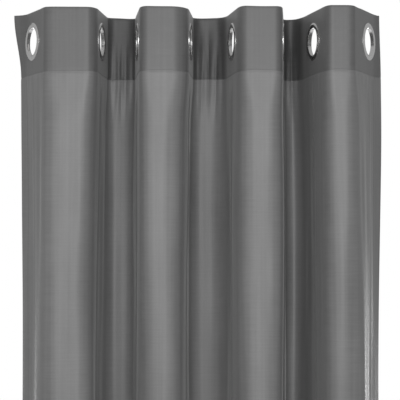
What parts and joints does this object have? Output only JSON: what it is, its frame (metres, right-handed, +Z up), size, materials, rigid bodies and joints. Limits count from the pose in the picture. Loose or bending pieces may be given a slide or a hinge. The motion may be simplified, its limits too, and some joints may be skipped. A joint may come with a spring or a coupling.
{
  "type": "eyelet-headed room curtain panel",
  "caption": "Long lined room curtain panel hanging in upright folds, with a stiffened heading and two-piece metal eyelets that slide on a curtain rod.",
  "frame": {"origin": "the eyelets' centre line at the middle of the folded panel", "axes": "+X along the curtain rod to the right as seen from the room, +Y from the room towards the window, +Z up"},
  "size_m": [0.5201, 0.1298, 2.29],
  "materials": {
    "cloth": "charcoal grey woven polyester with a faint satin sheen",
    "buckram": "stiff off-white non-woven band",
    "eyelet_metal": "polished nickel-chrome plate",
    "label_tape": "blank white satin tape",
    "thread": "charcoal polyester sewing thread"
  },
  "bodies": {
    "side_1": {"cloth_side_1": "cloth", "stiffener_side_1": "buckram", "eyelet_front_1": "eyelet_metal", "eyelet_back_1": "eyelet_metal"},
    "side_2": {"cloth_side_2": "cloth", "stiffener_side_2": "buckram", "eyelet_front_2": "eyelet_metal", "eyelet_back_2": "eyelet_metal"},
    "side_3": {"cloth_side_3": "cloth", "stiffener_side_3": "buckram", "eyelet_front_3": "eyelet_metal", "eyelet_back_3": "eyelet_metal"},
    "side_4": {"cloth_side_4": "cloth", "stiffener_side_4": "buckram", "eyelet_front_4": "eyelet_metal", "eyelet_back_4": "eyelet_metal"},
    "side_5": {"cloth_side_5": "cloth", "stiffener_side_5": "buckram", "eyelet_front_5": "eyelet_metal", "eyelet_back_5": "eyelet_metal"},
    "side_6": {"cloth_side_6": "cloth", "stiffener_side_6": "buckram", "eyelet_front_6": "eyelet_metal", "eyelet_back_6": "eyelet_metal"},
    "side_7": {"cloth_side_7": "cloth", "stiffener_side_7": "buckram", "eyelet_front_7": "eyelet_metal", "eyelet_back_7": "eyelet_metal"},
    "side_8": {"cloth_side_8": "cloth", "stiffener_side_8": "buckram", "eyelet_front_8": "eyelet_metal", "eyelet_back_8": "eyelet_metal", "care_label": "label_tape"},
    "front_fold_1": {"cloth_front_fold_1": "cloth", "stiffener_front_fold_1": "buckram"},
    "front_fold_2": {"cloth_front_fold_2": "cloth", "stiffener_front_fold_2": "buckram"},
    "front_fold_3": {"cloth_front_fold_3": "cloth", "stiffener_front_fold_3": "buckram"},
    "front_fold_4": {"cloth_front_fold_4": "cloth", "stiffener_front_fold_4": "buckram"},
    "back_fold_1": {"cloth_back_fold_1": "cloth", "stiffener_back_fold_1": "buckram"},
    "back_fold_2": {"cloth_back_fold_2": "cloth", "stiffener_back_fold_2": "buckram"},
    "back_fold_3": {"cloth_back_fold_3": "cloth", "stiffener_back_fold_3": "buckram"}
  },
  "joints": [
    {"name": "corner_7_open", "type": "hinge", "parent": "back_fold_2", "child": "side_4", "pos_m": [-0.01051, 0.057, 0], "axis": [0, 0, -1], "range_deg": [-12, 23.5]},
    {"name": "corner_6_open", "type": "hinge", "parent": "side_4", "child": "front_fold_2", "pos_m": [-0.01894, -0.05, 0], "axis": [0, 0, 1], "range_deg": [-12.01, 23.51]},
    {"name": "corner_5_open", "type": "hinge", "parent": "front_fold_2", "child": "side_3", "pos_m": [-0.08283, -0.05, 0], "axis": [0, 0, 1], "range_deg": [-11.29, 22.11]},
    {"name": "corner_4_open", "type": "hinge", "parent": "side_3", "child": "back_fold_1", "pos_m": [-0.0942, 0.06, 0], "axis": [0, 0, -1], "range_deg": [-11.29, 22.11]},
    {"name": "corner_3_open", "type": "hinge", "parent": "back_fold_1", "child": "side_2", "pos_m": [-0.13474, 0.06, 0], "axis": [0, 0, -1], "range_deg": [-10.78, 21.11]},
    {"name": "corner_2_open", "type": "hinge", "parent": "side_2", "child": "front_fold_1", "pos_m": [-0.14757, -0.046, 0], "axis": [0, 0, 1], "range_deg": [-10.78, 21.11]},
    {"name": "corner_1_open", "type": "hinge", "parent": "front_fold_1", "child": "side_1", "pos_m": [-0.21596, -0.046, 0], "axis": [0, 0, 1], "range_deg": [-6.14, 12.01]},
    {"name": "corner_8_open", "type": "hinge", "parent": "back_fold_2", "child": "side_5", "pos_m": [0.03664, 0.057, 0], "axis": [0, 0, 1], "range_deg": [-9.05, 17.71]},
    {"name": "corner_9_open", "type": "hinge", "parent": "side_5", "child": "front_fold_3", "pos_m": [0.05663, -0.053, 0], "axis": [0, 0, -1], "range_deg": [-9.05, 17.71]},
    {"name": "corner_10_open", "type": "hinge", "parent": "front_fold_3", "child": "side_6", "pos_m": [0.11425, -0.053, 0], "axis": [0, 0, -1], "range_deg": [-12.57, 24.61]},
    {"name": "corner_11_open", "type": "hinge", "parent": "side_6", "child": "back_fold_3", "pos_m": [0.12144, 0.068, 0], "axis": [0, 0, 1], "range_deg": [-12.57, 24.61]},
    {"name": "corner_12_open", "type": "hinge", "parent": "back_fold_3", "child": "side_7", "pos_m": [0.14554, 0.068, 0], "axis": [0, 0, 1], "range_deg": [-6.96, 13.61]},
    {"name": "corner_13_open", "type": "hinge", "parent": "side_7", "child": "front_fold_4", "pos_m": [0.17815, -0.059, 0], "axis": [0, 0, -1], "range_deg": [-6.96, 13.61]},
    {"name": "corner_14_open", "type": "hinge", "parent": "front_fold_4", "child": "side_8", "pos_m": [0.21348, -0.059, 0], "axis": [0, 0, -1], "range_deg": [-6.04, 11.81]}
  ],
  "couplings": [
    {"joint": "corner_6_open", "follows": "corner_7_open", "ratio": 1},
    {"joint": "corner_5_open", "follows": "corner_7_open", "ratio": 0.94043},
    {"joint": "corner_4_open", "follows": "corner_7_open", "ratio": 0.94043},
    {"joint": "corner_3_open", "follows": "corner_7_open", "ratio": 0.89787},
    {"joint": "corner_2_open", "follows": "corner_7_open", "ratio": 0.89787},
    {"joint": "corner_1_open", "follows": "corner_7_open", "ratio": 0.51064},
    {"joint": "corner_8_open", "follows": "corner_7_open", "ratio": 0.75319},
    {"joint": "corner_9_open", "follows": "corner_7_open", "ratio": 0.75319},
    {"joint": "corner_10_open", "follows": "corner_7_open", "ratio": 1.0468},
    {"joint": "corner_11_open", "follows": "corner_7_open", "ratio": 1.0468},
    {"joint": "corner_12_open", "follows": "corner_7_open", "ratio": 0.57872},
    {"joint": "corner_13_open", "follows": "corner_7_open", "ratio": 0.57872},
    {"joint": "corner_14_open", "follows": "corner_7_open", "ratio": 0.50213}
  ]
}
